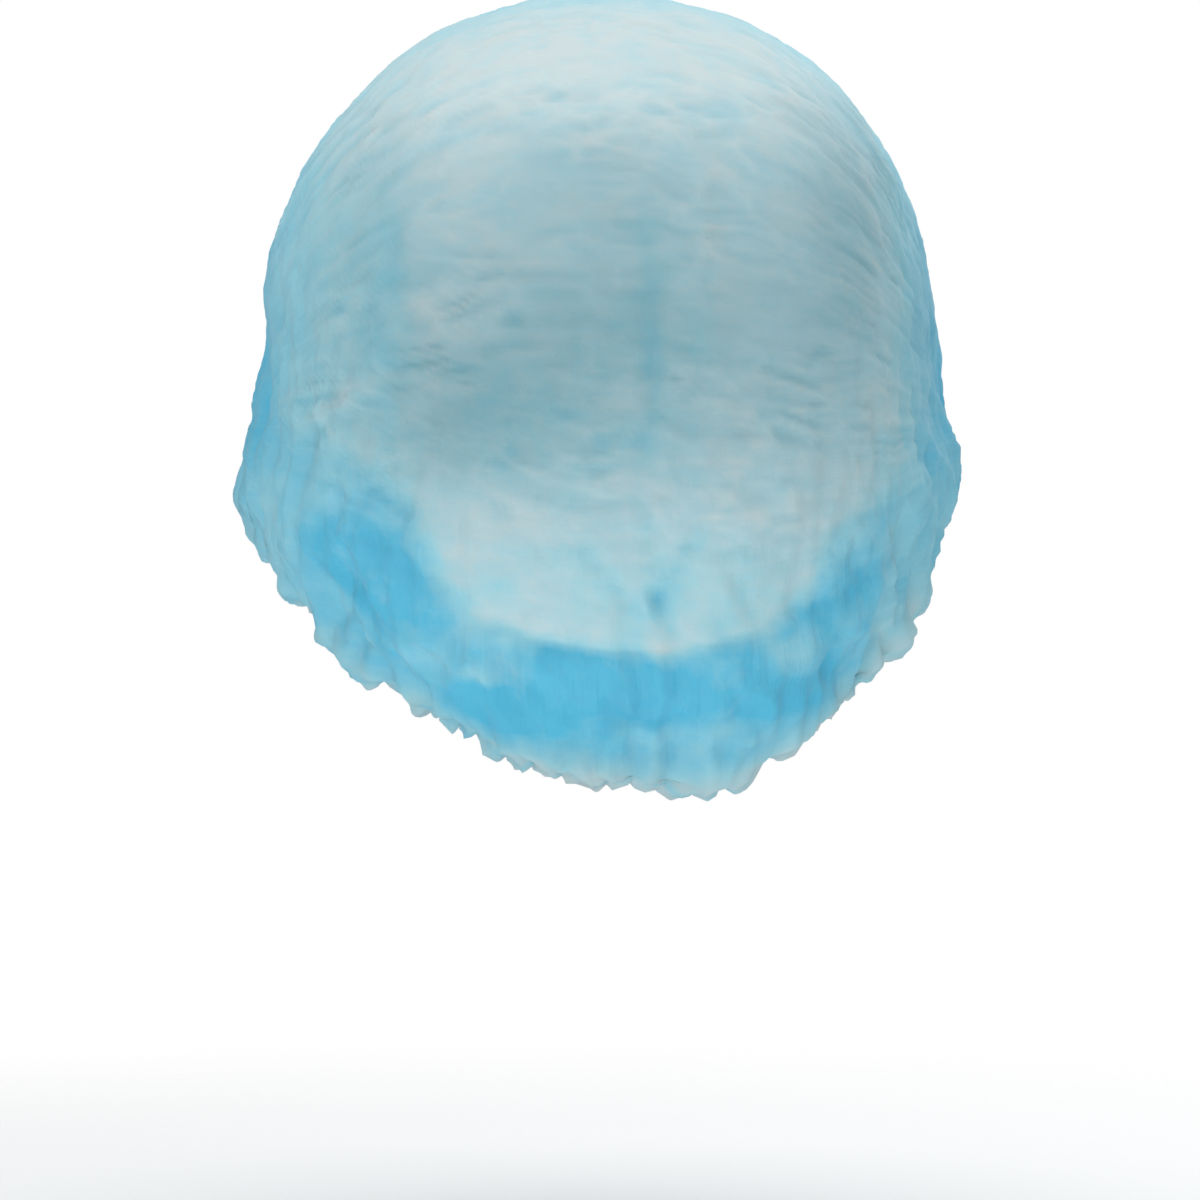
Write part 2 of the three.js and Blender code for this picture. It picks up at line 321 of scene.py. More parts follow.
def clouds(points, cell, seed, layers=3):
    """Layers of noise on places in space, each half the size and half the strength of the one before.

    Each layer is moved by a part of a cell, so that the cells' corners don't fall together.
    """
    total = 0
    for layer in range(layers):
        places = points / cell * 2**layer + 0.37 * layer
        total = total + cloud(places, seed + layer) / 2**layer
    return total


def smoothstep(low, high, value):
    """An S-curve from 0 where value is low to 1 where it is high. low may be the greater of the two."""
    share = np.clip((value - low) / (high - low), 0, 1)
    return share * share * (3 - 2 * share)


def hermite(start, leaving, end, arriving, share):
    """A cubic curve from start to end with the given slopes at both ends."""
    share = np.clip(share, 0, 1)
    bend = 3 * (end - start) - 2 * leaving - arriving
    twist = 2 * (start - end) + leaving + arriving
    return start + share * (leaving + share * (bend + share * twist))


def sections_at(azimuth):
    """The table's columns at each azimuth in degrees, on a smooth curve through its rows, round and round."""
    rows = np.array(SECTIONS, float)
    last = np.searchsorted(rows[:, 0], azimuth, side="right") - 1
    before, start, end, after = (rows[(last + step) % len(rows)] for step in (-1, 0, 1, 2))
    share = ((azimuth - start[:, 0]) / ((end[:, 0] - start[:, 0]) % 360))[:, None]
    curve = hermite(start, (end - before) / 2, end, (after - start) / 2, share)
    return {name: curve[:, i, None] for i, name in enumerate(SECTION_COLUMNS) if i}


def plan_reach(cap, azimuth):
    """The radius of the cap's plan ellipse at each azimuth."""
    turn = np.radians(azimuth)
    return 1 / np.hypot(np.sin(turn) / (cap.width / 2), np.cos(turn) / (cap.depth / 2))


def hem_at(cap, azimuth):
    """The radius and height of the hem's foot at each azimuth."""
    section = sections_at(azimuth)
    radius = section["edge"][:, 0] * plan_reach(cap, azimuth) - cap.hem_tuck
    foot = CAD_HIGH.z - section["drop"][:, 0] * cap.height + cap.hem_rise
    return radius, foot


# Rows of the cloth's grid on each stretch of a meridian
DOME_ROWS = 132
PUFF_ROWS = 58
FOLD_ROWS = 15
SLOPE_ROWS = 6
HEM_ROWS = 6
CASING_ROWS = 6
BACK_ROWS = 5
COLUMNS = 432
FOLD_BOTTOM = DOME_ROWS + PUFF_ROWS + FOLD_ROWS * 2 // 3


def meridians(cap, azimuth):
    """Radius and height of the smooth cap's rows at each azimuth.

    The crown is a superellipse, the puff two cubic curves through the belly, and the fold an arc of 135
    degrees. From it a straight slope leads to the hem, which rises, turns over the elastic and comes down
    behind it.
    """
    section = sections_at(azimuth)
    plan = plan_reach(cap, azimuth)[:, None]
    reach, belly, fold = (section[name] * plan for name in ("reach", "belly", "edge"))
    shoulder, puff, drop = (section[name] * cap.height for name in ("shoulder", "puff", "drop"))
    power = section["fullness"]

    turn = np.linspace(0, np.pi / 2, DOME_ROWS + 1)[None, 1:]
    size = (np.sin(turn) ** power + np.cos(turn).clip(0) ** power) ** (-1 / power)
    dome = reach * size * np.sin(turn), -shoulder * (1 - size * np.cos(turn))

    down = np.linspace(0, 1, PUFF_ROWS + 1)[None, 1:]
    low = drop - cap.fold_radius
    middle = (puff - shoulder) / (low - shoulder)
    slope = fold - reach
    first = down / middle
    second = (down - middle) / (1 - middle)
    above = hermite(reach, 0, belly, slope * middle, first)
    below = hermite(belly, slope * (1 - middle), fold, 0, second)
    loose = np.where(down < middle, above, below), -(shoulder + down * (low - shoulder))

    turn = np.linspace(0, np.pi * 0.75, FOLD_ROWS + 1)[None, 1:]
    radius = cap.fold_radius
    bend = fold - radius * (1 - np.cos(turn)), -low - radius * np.sin(turn)

    hem_radius, foot = hem_at(cap, azimuth)
    hem_radius = hem_radius[:, None] + HALF_WALL
    foot = foot[:, None] - CAD_HIGH.z
    along = np.linspace(0, 1, SLOPE_ROWS + 1)[None, 1:]
    in_slope = (
        bend[0][:, -1:] + along * (hem_radius - bend[0][:, -1:]),
        bend[1][:, -1:] + along * (foot - bend[1][:, -1:]),
    )
    rise = cap.hem_height + HALF_WALL
    along = np.linspace(0, 1, HEM_ROWS + 1)[None, 1:]
    hem = hem_radius + 0 * along, foot + rise * along
    turn = np.linspace(0, np.pi, CASING_ROWS + 1)[None, 1:]
    casing = (
        hem_radius + cap.casing_radius * (1 - np.cos(turn)),
        foot + rise + cap.casing_radius * np.sin(turn),
    )
    along = np.linspace(0, 1, BACK_ROWS + 1)[None, 1:]
    back = hem_radius + 2 * cap.casing_radius + 0 * along, foot + rise - cap.hem_height * along

    stretches = (dome, loose, bend, in_slope, hem, casing, back)
    radius = np.concatenate([r + 0 * z for r, z in stretches], axis=1)
    height = np.concatenate([z + 0 * r for r, z in stretches], axis=1) + CAD_HIGH.z - HALF_WALL
    return relaxed(radius), relaxed(height)


def relaxed(rows, times=2):
    """Rows drawn towards the mean of their neighbours, with the first and last kept."""
    for _ in range(times):
        middle = (rows[:, :-2] + 2 * rows[:, 1:-1] + rows[:, 2:]) / 4
        rows = np.concatenate([rows[:, :1], middle, rows[:, -1:]], axis=1)
    return rows


def surface_normals(points):
    """Outward unit normals of a grid that closes round its columns, from the slopes along both directions."""
    round_cap = np.roll(points, -1, axis=0) - np.roll(points, 1, axis=0)
    down = np.gradient(points, axis=1)
    normals = np.cross(down, round_cap)
    return normals / np.linalg.norm(normals, axis=2, keepdims=True).clip(1e-9)


def seat_push(points, above):
    """The push round the seat on the back, and how far inside the seat each point is, from 0 to 1.

    Below and beside the seat the cloth swells out in an S-curve, and a bell-shaped groove runs along its rim.
    """
    apart = seat_distance(points)
    at_back = smoothstep(0.0, -0.03, points[..., 1])
    on_puff = smoothstep(0.055, 0.040, above) * smoothstep(-0.002, 0.012, above)
    swell = SEAT_SWELL * smoothstep(0.95, 1.3, apart)
    groove = SEAT_GROOVE * np.exp(-(((apart - 1) / 0.07) ** 2))
    in_seat = smoothstep(1.20, 0.85, apart) * at_back
    return (swell - groove) * at_back * on_puff, in_seat


def gathering(cap, azimuth, points, above, drop):
    """How far the gathers push the cloth out, in shares of their depth, and the push's slope round the cap.

    Three trains of waves share one drift: full ones at the hem, half as many above them and a quarter as many
    above those. Each is strong over its own stretch above the fold, and noise makes them uneven. They reach
    less far up where the cap is short, at the brow.
    """
    turn = np.radians(azimuth)[:, None]
    drift = 0.12 * clouds(points, 0.035, seed=11, layers=2) + 0.05 * np.sin(3 * turn + 1)
    tall = 0.45 + 0.55 * smoothstep(0.42, 0.95, drop)
    uneven = 1 + 0.7 * clouds(points, 0.013, seed=21, layers=2)
    push = 0
    slope = 0
    for share, centre, spread, strength in GATHER_TRAINS:
        waves = cap.gathers * share
        weight = np.exp(-(((above - centre * tall) / (spread * tall)) ** 2))
        weight = np.where((above < centre * tall) & (share == 1), 1, weight)
        phase = waves * (turn + drift)
        push = push + strength * weight * np.cos(phase)
        slope = slope - strength * weight * np.sin(phase) * share
    return push * uneven, slope * uneven


def crease_push(points):
    """The creases on the back: for each, a groove whose depth falls off as a bell across its line."""
    push = np.zeros(points.shape[:2])
    at_back = smoothstep(0.0, -0.03, points[..., 1])
    x, z = points[..., 0] / MM, points[..., 2] / MM
    for x0, z0, x1, z1, half_width, depth in CREASES:
        along = ((x - x0) * (x1 - x0) + (z - z0) * (z1 - z0)) / ((x1 - x0) ** 2 + (z1 - z0) ** 2)
        along = np.clip(along, 0, 1)
        apart = np.hypot(x - x0 - along * (x1 - x0), z - z0 - along * (z1 - z0))
        push -= depth * MM * np.exp(-((apart / half_width) ** 2)) * at_back
    return push


def fold_push(azimuth, level):
    """The main folds: the sum of bells, each round its azimuth and its level."""
    push = 0
    for centre, height, strength, spread_round, spread_down in FOLDS:
        apart = np.abs((azimuth[:, None] - centre + 540) % 360 - 180) / spread_round
        push = push + strength * np.exp(-(apart**2) - ((level - height) / spread_down) ** 2)
    return push


def pleat_places(points):
    """Where each point lies on pleats that fan from ear to ear: along a pleat and across them, in metres.

    Across is the angle round the line through the ears, times the fan's radius. The third result falls to 0
    near that line, where the pleats would run together.
    """
    rise = points[..., 2] - EAR_HEIGHT
    across = np.arctan2(rise, -points[..., 1]) * FAN_RADIUS
    apart = np.hypot(rise, points[..., 1])
    return points[..., 0], across, smoothstep(0.02, 0.06, apart)


def ridged(noise, lowest):
    """Noise turned into sharp ridges where it was near 0, from lowest to 0.5."""
    return np.maximum(0.5 - 1.7 * np.abs(noise), lowest)


def wrinkles(points, level):
    """Short sharp wrinkles that fan from ear to ear over the crown: two sets that cross at a small angle.

    Each set is ridged noise in cells that are long along the pleats and narrow across them, and both are
    stronger in some patches than in others.
    """
    along, across, clear = pleat_places(points)
    along = along + 0.005 * clouds(points, 0.014, seed=53, layers=2)
    across = across + 0.0025 * clouds(points, 0.020, seed=55, layers=2)
    total = 0
    for cell_length, spacing, slant, height, seed, strength in WRINKLE_SETS:
        cells = [along / cell_length, (across + slant * along) / spacing, 0 * along + height]
        total = total + strength * ridged(cloud(np.stack(cells, axis=-1), seed), lowest=-0.35)
    patches = np.clip(0.85 + 0.6 * clouds(points, 0.024, seed=61, layers=2), 0.2, 1.6)
    loose = smoothstep(0.60, 0.85, level)
    return total * patches * clear * (1 - 0.75 * loose)


def crumple(points):
    """Creased noise from about -1.3 to 0.8: ridges 5 to 15 mm apart that run every way, but mostly upright.

    It is ridged noise of two sizes, in cells drawn out along the height.
    """
    drawn_up = points * (1, 1, 0.4)
    wide = ridged(cloud(drawn_up / 0.0096, seed=71), lowest=-0.8)
    fine = ridged(cloud(drawn_up / 0.0054, seed=72), lowest=-0.8)
    return wide + 0.6 * fine


def seat_distance(points):
    """How far each point of the back lies from the middle of the seat, where 1 is on its rim.

    The seat is where the cloth rests on the back of the head, under the belly. Seen square on, it is a half
    ellipse, open at the top.
    """
    x, z = points[..., 0] / MM, points[..., 2] / MM
    middle_x, middle_z, half_width, half_height = SEAT
    return np.hypot((x - middle_x) / half_width, np.minimum(z - middle_z, 0) / half_height)


def cloth_looks(points, normals, above, level, creases, wrinkled):
    """How blue, how much painted shade and how covered each point of the cloth is, each from 0 to 1.

    The crown is drawn smooth and pale. The cloth is bluer where it stands clear of the head at the sides and
    on top, deepest in the band of gathers under the seat, and more open along the edge below that band.
    Grooves are painted bluer and darker and ridges paler, as painted shade and painted highlight. Each row
    of LOOKS adds a bell of its own at the back, of blue and of painted shade.
    """
    x, y, z = (points[..., axis] for axis in range(3))
    at_back = smoothstep(0.02, -0.02, y)
    patchy = clouds(points, 0.014, seed=81)

    beside_head = smoothstep(-0.044, -0.055, x + 0.004 * patchy)
    beside_head = beside_head * smoothstep(-0.015, -0.080, z + 0.006 * patchy)
    left = LEFT_BLUE * beside_head + FAR_LEFT_BLUE * smoothstep(-0.060, -0.078, x)
    right = RIGHT_BLUE * smoothstep(0.060, 0.078, x + 0.002 * patchy)
    sides = (left + right) * smoothstep(0.05, 0.35, level) * (1 - 0.5 * smoothstep(0.65, 0.9, level))
    rim = RIM_BLUE * smoothstep(0.50, 0.0, np.abs(normals[..., 1]) + 0.12 * patchy)

    outer = smoothstep(0.056, 0.080, np.abs(x))
    at_left = smoothstep(-0.015, -0.040, x)
    start, full = 0.92 - 0.08 * at_left, 1.12 + 0.14 * at_left
    under_seat = smoothstep(start, full, seat_distance(points) + 0.03 * patchy) * at_back
    low = smoothstep(0.064, 0.038, above) * smoothstep(0.002, 0.015, above - 0.003 * patchy)
    band = BAND_BLUE * low * (under_seat + 0.5 * (1 - at_back)) * (1 - 0.62 * outer)

    patches = (PATCH_BLUE + LOW_PATCH_BLUE * low) * patchy
    # Wrinkles and creases paint their ridges paler and their grooves bluer and darker: painted highlight and
    # painted shade.
    blue = PLAIN_BLUE + sides + rim + band + patches - WRINKLE_PAINTED_LIGHT * wrinkled - CREASE_PAINTED_LIGHT * creases
    dim = -WRINKLE_PAINTED_SHADE * wrinkled - CREASE_PAINTED_SHADE * creases
    # Each row of LOOKS adds blue and painted shade. Its first row is a painted highlight at the top of the
    # back.
    for middle_x, middle_z, half_width, half_height, bluer, more_painted_shade in LOOKS:
        apart = np.hypot((x / MM - middle_x) / half_width, (z / MM - middle_z) / half_height)
        bell = np.exp(-(apart**2)) * at_back
        blue = blue + bluer * bell
        dim = dim + more_painted_shade * bell

    edge = smoothstep(0.012, 0.003, above)
    blue = blue + EDGE_BLUE * edge
    side = smoothstep(0.060, 0.082, np.abs(x)) * smoothstep(0.35, 0.5, level)
    cover = 1 - 0.6 * edge - 0.25 * side
    return blue, dim.clip(0, 1), cover.clip(0, 1)


def cap_surface(cap):
    """Places of the cloth's grid, the same on a tube, and the cloth's blue, painted shade and cover there.

    The smooth cap is moved along its own normals by the sum of gathers, folds, creases, wrinkles and noise,
    and along its rim by the slope of the gathers, which leans them over. Where the sheet turns in it moves
    inwards no further than a soft limit, and the hem keeps clear of the elastic. On the tube the height is
    the length walked down each meridian, so that streaks on it run down the meridians.
    """
    azimuth = np.arange(COLUMNS) * 360 / COLUMNS
    radius, height = meridians(cap, azimuth)
    turn = np.radians(azimuth)[:, None]
    smooth = np.stack([radius * np.sin(turn), -radius * np.cos(turn), height], axis=2)
    normals = surface_normals(smooth)
    steps = np.linalg.norm(np.diff(smooth, axis=1), axis=2)
    walked = np.concatenate([0 * steps[:, :1], np.cumsum(steps, axis=1)], axis=1) + radius[:, :1]
    above = walked[:, FOLD_BOTTOM, None] - walked
    drop = sections_at(azimuth)["drop"]
    level = (CAD_HIGH.z - height) / (drop * cap.height)

    rows = np.arange(smooth.shape[1])
    hem_start = DOME_ROWS + PUFF_ROWS + FOLD_ROWS
    on_body = 1 - smoothstep(hem_start, hem_start + SLOPE_ROWS, rows)[None, :]
    waves, waves_slope = gathering(cap, azimuth, smooth, above, drop)
    turned_in = smoothstep(0.003, -0.006, above)
    shares = GATHERS_ALL + GATHERS_FROM_FOLD * turned_in + GATHERS_TO_HEM * (turned_in * on_body)
    depth = cap.gather_depth * shares
    at_fold = np.exp(-(((above - 0.003) / 0.016) ** 2))
    push = depth * waves - FOLD_DRAWN_IN * at_fold
    round_seat, in_seat = seat_push(smooth, above)
    push += round_seat
    push += on_body * fold_push(azimuth, level)
    creases = on_body * crease_push(smooth)
    wrinkled = on_body * wrinkles(smooth, level)
    push += creases

    loose = smoothstep(0.45, 0.95, level)
    beside = smoothstep(0.045, 0.075, np.abs(smooth[..., 0])) * smoothstep(0.1, 0.3, level)
    push += on_body * clouds(smooth, 0.024, seed=31) * (BILLOW + LOOSE_BILLOW * loose)
    calm = (1 - 0.15 * at_fold) * (1 - 0.7 * in_seat)
    push += crumple(smooth) * (CRUMPLE + LOOSE_CRUMPLE * loose + SIDE_CRUMPLE * beside) * calm
    push += WRINKLE * wrinkled

    limited = -INWARD_LIMIT * np.tanh(-push / INWARD_LIMIT)
    push = np.where((push < 0) & (above < 0), limited, push)
    room = cap.casing_radius - CASING_CLEARANCE
    push = on_body * push + (1 - on_body) * room * np.tanh(push / room)
    flat = 0 * radius
    tangent = np.stack([np.cos(turn) + flat, np.sin(turn) + flat, flat], axis=2)
    lean = -0.55 * depth * waves_slope
    points = smooth + normals * push[..., None] + tangent * lean[..., None]

    blue, dim, cover = cloth_looks(smooth, normals, above, level, creases, wrinkled)
    # Near the hem the gathers' crests are painted paler and their hollows bluer: painted highlight and
    # painted shade.
    blue = blue - GATHER_PAINTED_LIGHT * np.clip(waves, -1.5, 1.5) * smoothstep(0.06, 0.01, above)
    half_width = cap.width / 2
    tube = np.stack([half_width * np.sin(turn) + flat, half_width * np.cos(turn) + flat, walked], axis=2)
    return points, tube, blue, dim, cover


BAND_COLUMNS = 480
BAND_CORNERS = 40


def elastic_surface(cap, band):
    """Places of the elastic's grid, and the lengths walked round it and across it.

    Its section is a flat superellipse whose sides are raised in cords by a cosine of the height. It is
    carried round the hem, a fixed offset outside it.
    """
    azimuth = np.arange(BAND_COLUMNS) * 360 / BAND_COLUMNS
    radius, foot = hem_at(cap, azimuth)
    inside = radius + band.offset
    low = foot + cap.hem_height - band.width
    turn = np.radians(azimuth)[:, None]
    corner = np.linspace(0, 2 * np.pi, BAND_CORNERS + 1)[None, :]
    up = -np.sign(np.cos(corner)) * np.abs(np.cos(corner)) ** 0.5
    out = np.sign(np.sin(corner)) * np.abs(np.sin(corner)) ** 0.35
    ribs = 1 - 0.18 * (0.5 + 0.5 * np.cos(up * np.pi * band.ribs))
    across = (out * ribs * 0.5 + 0.5) * band.thickness
    height = low[:, None] + (up * 0.5 + 0.5) * band.width
    distance = inside[:, None] + across
    points = np.stack([distance * np.sin(turn), -distance * np.cos(turn), height + 0 * turn], axis=2)
    walked = np.cumsum(np.linalg.norm(np.diff(points[:, 0], axis=0, append=points[:1, 0]), axis=1))
    return points, walked[:, None] + 0 * up, up * band.width + 0 * turn


def grid_mesh(name, points, pole=None):
    """A mesh of quads over a grid that closes round its columns, with a fan to a pole if there is one."""
    columns, rows = points.shape[:2]
    index = np.arange(columns * rows).reshape(columns, rows)
    beside = np.roll(index, -1, axis=0)
    quads = np.stack([index[:, :-1], index[:, 1:], beside[:, 1:], beside[:, :-1]], axis=2).reshape(-1, 4)
    places = points.reshape(-1, 3)
    corners = quads.reshape(-1)
    counts = np.full(len(quads), 4)
    if pole is not None:
        fan = np.stack([np.full(columns, len(places)), index[:, 0], beside[:, 0]], axis=1)
        places = np.vstack([places, pole])
        corners = np.concatenate([corners, fan.reshape(-1)])
        counts = np.concatenate([counts, np.full(columns, 3)])
    mesh = bpy.data.meshes.new(name)
    mesh.vertices.add(len(places))
    mesh.vertices.foreach_set("co", places.reshape(-1).astype(np.float32))
    mesh.loops.add(len(corners))
    mesh.loops.foreach_set("vertex_index", corners.astype(np.int32))
    mesh.polygons.add(len(counts))
    starts = np.concatenate([[0], np.cumsum(counts)[:-1]])
    mesh.polygons.foreach_set("loop_start", starts.astype(np.int32))
    mesh.update(calc_edges=True)
    mesh.validate()
    mesh.polygons.foreach_set("use_smooth", np.ones(len(mesh.polygons), bool))
    return mesh


def add_object(name, mesh):
    piece = bpy.data.objects.new(name, mesh)
    bpy.context.scene.collection.objects.link(piece)
    return piece


def point_values(mesh, name, values):
    """One number or three for each vertex, as an attribute that a material can read."""
    kind, key = ("FLOAT_VECTOR", "vector") if values.ndim == 2 else ("FLOAT", "value")
    layer = mesh.attributes.new(name, kind, "POINT")
    layer.data.foreach_set(key, values.reshape(-1).astype(np.float32))


def map_places(mesh, name, u, v):
    """A UV map from two numbers for each vertex."""
    layer = mesh.uv_layers.new(name=name)
    vertex = np.empty(len(mesh.loops), np.int32)
    mesh.loops.foreach_get("vertex_index", vertex)
    pairs = np.stack([u.reshape(-1)[vertex], v.reshape(-1)[vertex]], axis=1)
    layer.data.foreach_set("uv", pairs.reshape(-1).astype(np.float32))


# Materials


class Reading:
    """One output of a shader node. Sums and products of it add Math nodes."""

    def __init__(self, finish, socket):
        self.finish = finish
        self.socket = socket

    def math(self, operation, first, second):
        return self.finish.node("ShaderNodeMath", {"operation": operation}, {0: first, 1: second})

    def __add__(self, other):
        return self.math("ADD", self, other)

    def __radd__(self, other):
        return self.math("ADD", other, self)

    def __sub__(self, other):
        return self.math("SUBTRACT", self, other)

    def __rsub__(self, other):
        return self.math("SUBTRACT", other, self)

    def __mul__(self, other):
        return self.math("MULTIPLY", self, other)

    def __rmul__(self, other):
        return self.math("MULTIPLY", other, self)


class Finish:
    """The nodes of a new material or world. node adds one node and gives one of its outputs as a Reading.

    The colours of a Mix node are its inputs 6 and 7 and its output 2.
    """

    def __init__(self, owner):
        self.owner = owner
        self.owner.use_nodes = True
        self.tree = self.owner.node_tree
        self.tree.nodes.clear()

    def node(self, kind, settings=None, inputs=None, output=0):
        made = self.tree.nodes.new(kind)
        for key, value in (settings or {}).items():
            if key == "stops":
                self.set_stops(made.color_ramp, value)
            else:
                setattr(made, key, value)
        for key, value in (inputs or {}).items():
            if isinstance(value, Reading):
                self.tree.links.new(value.socket, made.inputs[key])
            else:
                made.inputs[key].default_value = value
        return Reading(self, made.outputs[output]) if made.outputs else None

    def set_stops(self, ramp, stops):
        while len(ramp.elements) < len(stops):
            ramp.elements.new(1)
        for element, (place, shade) in zip(ramp.elements, stops):
            element.position = place
            element.color = (*shade, 1)

    def noise(self, vector, scale, detail, roughness):
        return self.node(
            "ShaderNodeTexNoise",
            {"noise_dimensions": "3D"},
            {"Vector": vector, "Scale": scale, "Detail": detail, "Roughness": roughness},
        )

    def streaks(self, places, scale):
        """Noise on places that an attribute gives, drawn out by different scales along its axes."""
        place = self.node("ShaderNodeAttribute", {"attribute_name": places}, output="Vector")
        drawn_out = self.node("ShaderNodeMapping", {}, {"Vector": place, "Scale": scale})
        return self.noise(drawn_out, 1, 3, 0.6)

    def ends_in(self, shader, kind="ShaderNodeOutputMaterial"):
        self.node(kind, {}, {"Surface": shader})
        return self.owner


def nonwoven_finish(cap):
    """Spunbond cloth: uneven clouds of fibre, fine wrinkles and gathers, and blue and painted shade from the
    mesh.
    """
    finish = Finish(bpy.data.materials.new("nonwoven"))
    place = finish.node("ShaderNodeTexCoord", output="Object")
    blue, dim, cover = (
        finish.node("ShaderNodeAttribute", {"attribute_name": name}, output="Fac")
        for name in ("blue", "dim", "cover")
    )
    fibres = finish.noise(place, 420, 5, 0.65)
    blotches = finish.noise(place, 110, 4, 0.6)
    wrinkles = finish.streaks("wrinkles", (30, 260, 1))
    gathers = finish.streaks("gathers", (420, 420, 40))
    depth = blue + (fibres - 0.5) * 0.20 + (blotches - 0.5) * 0.32 + (wrinkles - 0.5) * 0.22
    shade = finish.node(
        "ShaderNodeValToRGB",
        {"stops": ((0.0, cap.pale), (0.45, cap.even), (1.0, cap.deep))},
        {"Fac": depth},
    )
    # Painted shade: where the mesh asks for it, the colour is multiplied by a darker grey-blue. It is darkest
    # over the middle of the back.
    colour_with_painted_shade = finish.node(
        "ShaderNodeMix",
        {"data_type": "RGBA", "blend_type": "MULTIPLY"},
        {0: dim, 6: shade, 7: (*cap.dim, 1)},
        output=2,
    )
    relief = wrinkles * 0.45 + gathers * blue * 1.1 + fibres * 0.3 + blotches * 0.35
    bump = finish.node("ShaderNodeBump", {}, {"Height": relief, "Strength": 0.5, "Distance": 0.0012})
    solid = finish.node(
        "ShaderNodeBsdfPrincipled",
        {},
        {
            "Base Color": colour_with_painted_shade,
            "Roughness": 0.72,
            "Specular IOR Level": 0.3,
            "Sheen Weight": 0.15,
            "Alpha": 0.70 + cover * 0.285 + (fibres - 0.5) * 0.12,
            "Normal": bump,
        },
    )
    through = finish.node("ShaderNodeBsdfTranslucent", {}, {"Color": colour_with_painted_shade, "Normal": bump})
    both = finish.node("ShaderNodeMixShader", {}, {0: SHARE_THROUGH, 1: solid, 2: through})
    return finish.ends_in(both)


def elastic_finish(band):
    """Covered elastic: fine cross threads over its cords."""
    finish = Finish(bpy.data.materials.new("elastic"))
    place = finish.node("ShaderNodeUVMap", {"uv_map": "weave"})
    threads = finish.node(
        "ShaderNodeTexWave",
        {"wave_type": "BANDS", "bands_direction": "X"},
        {"Vector": place, "Scale": 260, "Distortion": 1.5, "Detail": 2, "Detail Scale": 3},
    )
    dust = finish.noise(finish.node("ShaderNodeTexCoord", output="Object"), 300, 4, 0.6)
    between = tuple(0.8 * part for part in band.white)
    shade = finish.node(
        "ShaderNodeMix",
        {"data_type": "RGBA"},
        {0: threads * 0.6 + dust * 0.4, 6: (*between, 1), 7: (*band.white, 1)},
        output=2,
    )
    relief = threads + dust * 0.3
    bump = finish.node("ShaderNodeBump", {}, {"Height": relief, "Strength": 0.5, "Distance": 0.0003})
    solid = finish.node(
        "ShaderNodeBsdfPrincipled",
        {},
        {"Base Color": shade, "Roughness": 0.65, "Normal": bump},
    )
    return finish.ends_in(solid)


def floor_finish(radius):
    """Pale paper that fades out at its edge and can't be seen from below."""
    finish = Finish(bpy.data.materials.new("studio_floor"))
    place = finish.node("ShaderNodeTexCoord", output="Object")
    apart = finish.node("ShaderNodeVectorMath", {"operation": "LENGTH"}, {0: place}, output="Value")
    fade = finish.node(
        "ShaderNodeMapRange",
        {"interpolation_type": "SMOOTHSTEP"},
        {"Value": apart, "From Min": radius * 0.35, "From Max": radius * 0.98, "To Min": 0, "To Max": 1},
    )
    under = finish.node("ShaderNodeNewGeometry", output="Backfacing")
    hidden = finish.node("ShaderNodeMath", {"operation": "MAXIMUM"}, {0: fade, 1: under})
    pale = (0.95, 0.95, 0.95, 1)
    paper = finish.node("ShaderNodeBsdfPrincipled", {}, {"Base Color": pale, "Roughness": 0.9})
    clear = finish.node("ShaderNodeBsdfTransparent")
    both = finish.node("ShaderNodeMixShader", {}, {0: hidden, 1: paper, 2: clear})
    return finish.ends_in(both)


# The studio


def add_floor(height):
    """A round pale floor under the cap."""
    turn = np.linspace(0, 2 * np.pi, 96, endpoint=False)
    rim = np.stack([np.cos(turn), np.sin(turn), 0 * turn], axis=1) * FLOOR_RADIUS
    mesh = bpy.data.meshes.new("studio_floor")
    mesh.from_pydata(rim.tolist(), [], [list(range(len(rim)))])
    floor = add_object("studio_floor", mesh)
    floor.location.z = height
    mesh.materials.append(floor_finish(FLOOR_RADIUS))


def add_light(name, place, size, power):
    """A square soft light that faces the middle of the cap."""
    light = bpy.data.lights.new(name, "AREA")
    light.size = size
    light.energy = power
    lamp = bpy.data.objects.new(name, light)
    bpy.context.scene.collection.objects.link(lamp)
    lamp.location = place
    middle = (CAD_LOW + CAD_HIGH) / 2
    lamp.rotation_euler = (middle - lamp.location).to_track_quat("-Z", "Y").to_euler()


def add_surroundings(scene, glow):
    """White surroundings. They look plain white behind the cap, and light it with a weaker glow."""
    finish = Finish(bpy.data.worlds.new("studio"))
    seen = finish.node("ShaderNodeBackground", {}, {"Color": (1, 1, 1, 1)})
    lit = finish.node("ShaderNodeBackground", {}, {"Color": (0.96, 0.98, 1, 1), "Strength": glow})
    to_camera = finish.node("ShaderNodeLightPath", output="Is Camera Ray")
    both = finish.node("ShaderNodeMixShader", {}, {0: to_camera, 1: lit, 2: seen})
    scene.world = finish.ends_in(both, "ShaderNodeOutputWorld")


def add_camera(scene, studio):
    """A camera square behind the cap, with the lens that gives the frame's width at the cap's axis."""
    camera = bpy.data.cameras.new("camera")
    camera.lens = camera.sensor_width * studio.camera_distance / studio.frame_size
    view = bpy.data.objects.new("camera", camera)
    scene.collection.objects.link(view)
    view.location = (CAMERA_X, -studio.camera_distance, CAMERA_Z)
    view.rotation_euler = (np.pi / 2, 0, 0)
    scene.camera = view


# Operators, one for each piece and one for the studio


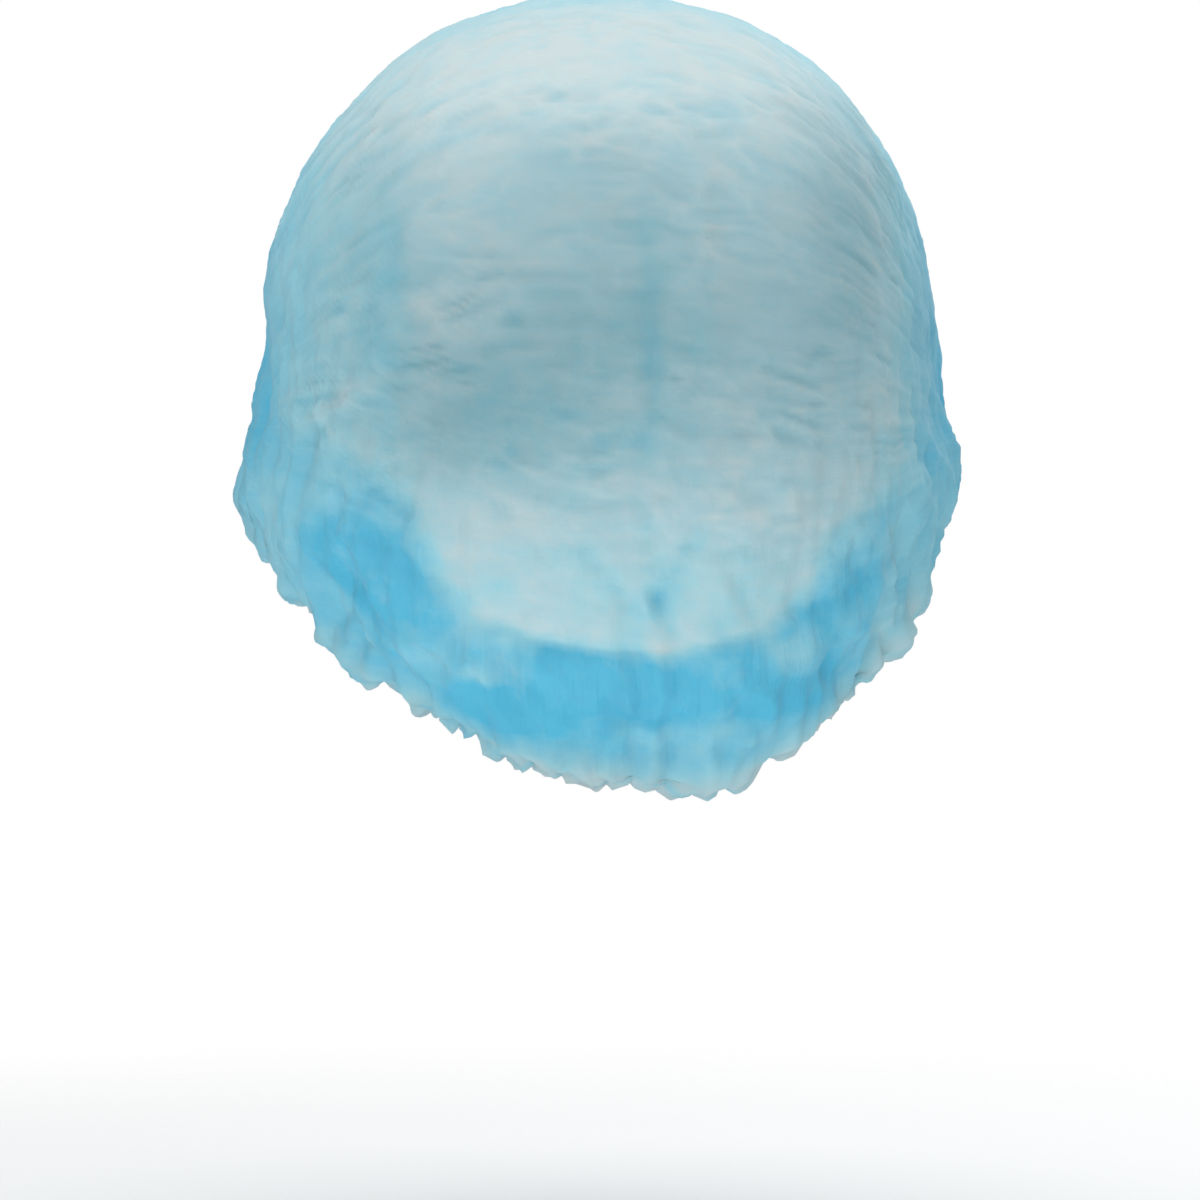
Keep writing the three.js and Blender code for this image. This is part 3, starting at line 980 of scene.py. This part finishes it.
class HAIRNET_OT_cap(bpy.types.Operator):
    """Make the cap: one sheet of non-woven cloth from the crown to the raw edge behind the elastic"""

    bl_idname = "hairnet.cap"
    bl_label = "Cap"

    def execute(self, context):
        cap = context.scene.hairnet_cap
        points, tube, *looks = cap_surface(cap)
        crown = points[:, 0].mean(axis=0)
        mesh = grid_mesh("cap", points, crown)
        with_pole = np.vstack([points.reshape(-1, 3), crown])
        along, across, _ = pleat_places(with_pole)
        point_values(mesh, "wrinkles", np.stack([along, across, 0 * along], axis=1))
        point_values(mesh, "gathers", np.vstack([tube.reshape(-1, 3), (0, 0, 0)]))
        for name, values in zip(("blue", "dim", "cover"), looks):
            point_values(mesh, name, np.append(values.reshape(-1), values[:, 0].mean()))
        piece = add_object("cap", mesh)
        mesh.materials.append(nonwoven_finish(cap))
        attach(piece, "root")
        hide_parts(CLOTH_NODE)
        return {"FINISHED"}


class HAIRNET_OT_elastic(bpy.types.Operator):
    """Make the ribbed elastic that the hem is gathered on"""

    bl_idname = "hairnet.elastic"
    bl_label = "Elastic"

    def execute(self, context):
        cap = context.scene.hairnet_cap
        band = context.scene.hairnet_band
        points, around, across = elastic_surface(cap, band)
        mesh = grid_mesh("elastic", points)
        map_places(mesh, "weave", around, across)
        piece = add_object("elastic", mesh)
        mesh.materials.append(elastic_finish(band))
        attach(piece, "root")
        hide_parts(BAND_NODE)
        return {"FINISHED"}


class HAIRNET_OT_studio(bpy.types.Operator):
    """Make the floor, the soft lights, the white surroundings and the camera"""

    bl_idname = "hairnet.studio"
    bl_label = "Studio"

    def execute(self, context):
        studio = context.scene.hairnet_studio
        add_floor(studio.floor_height)
        for name, place, size, power in LIGHTS:
            add_light(name, place, size, power)
        add_surroundings(context.scene, SURROUNDINGS_GLOW)
        add_camera(context.scene, studio)
        context.scene.view_settings.view_transform = "Standard"
        return {"FINISHED"}


class HAIRNET_PT_panel(bpy.types.Panel):
    """The hairnet's steps and sizes"""

    bl_idname = "HAIRNET_PT_panel"
    bl_label = "Hairnet"
    bl_space_type = "VIEW_3D"
    bl_region_type = "UI"
    bl_category = "Hairnet"

    def draw(self, context):
        for operator, group in STEPS:
            box = self.layout.box()
            box.operator(operator)
            settings = getattr(context.scene, group)
            for name in settings.bl_rna.properties.keys():
                if name not in ("rna_type", "name"):
                    box.prop(settings, name)


STEPS = (
    ("hairnet.cap", "hairnet_cap"),
    ("hairnet.elastic", "hairnet_band"),
    ("hairnet.studio", "hairnet_studio"),
)
CLASSES = (
    HairnetCap,
    HairnetBand,
    HairnetStudio,
    HAIRNET_OT_cap,
    HAIRNET_OT_elastic,
    HAIRNET_OT_studio,
    HAIRNET_PT_panel,
)


def register():
    for made in CLASSES:
        bpy.utils.register_class(made)
    bpy.types.Scene.hairnet_cap = bpy.props.PointerProperty(type=HairnetCap)
    bpy.types.Scene.hairnet_band = bpy.props.PointerProperty(type=HairnetBand)
    bpy.types.Scene.hairnet_studio = bpy.props.PointerProperty(type=HairnetStudio)


def unregister():
    del bpy.types.Scene.hairnet_studio
    del bpy.types.Scene.hairnet_band
    del bpy.types.Scene.hairnet_cap
    for made in reversed(CLASSES):
        bpy.utils.unregister_class(made)


def main():
    register()
    bpy.ops.hairnet.elastic()
    bpy.ops.hairnet.cap()
    bpy.ops.hairnet.studio()


if __name__ == "__main__":
    main()
